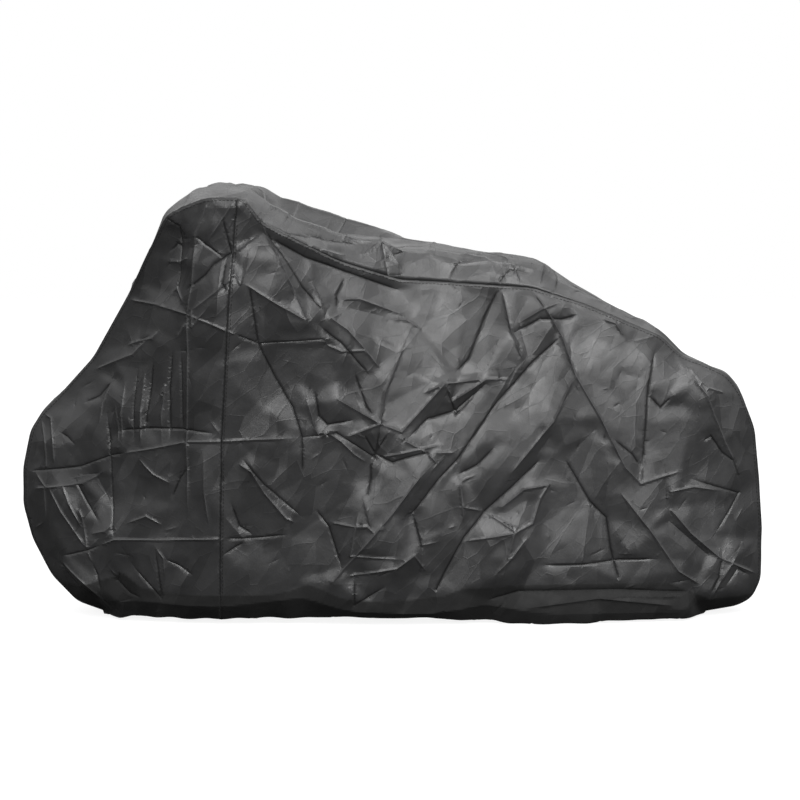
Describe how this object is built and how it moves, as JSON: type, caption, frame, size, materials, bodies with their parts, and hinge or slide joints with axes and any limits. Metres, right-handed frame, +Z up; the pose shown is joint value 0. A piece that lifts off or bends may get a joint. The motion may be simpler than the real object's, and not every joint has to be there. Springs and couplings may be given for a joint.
{
  "type": "bicycle cover",
  "caption": "Fitted bicycle cover of thin coated nylon, with side panels, a long gusset strip over the top and an elastic hem, hollow and open below.",
  "frame": {"origin": "on the floor under the middle of the cover, at its lowest fold", "axes": "+X from the front wheel to the rear wheel, +Y to the hidden far side, +Z up"},
  "size_m": [1.8011, 0.5803, 1.0437],
  "materials": {
    "coated_nylon": "satin coated taffeta, creased"
  },
  "bodies": {
    "root": {"gusset_strip": "coated_nylon", "near_front_panel": "coated_nylon", "near_rear_panel": "coated_nylon", "far_front_panel": "coated_nylon", "far_rear_panel": "coated_nylon"}
  },
  "joints": []
}
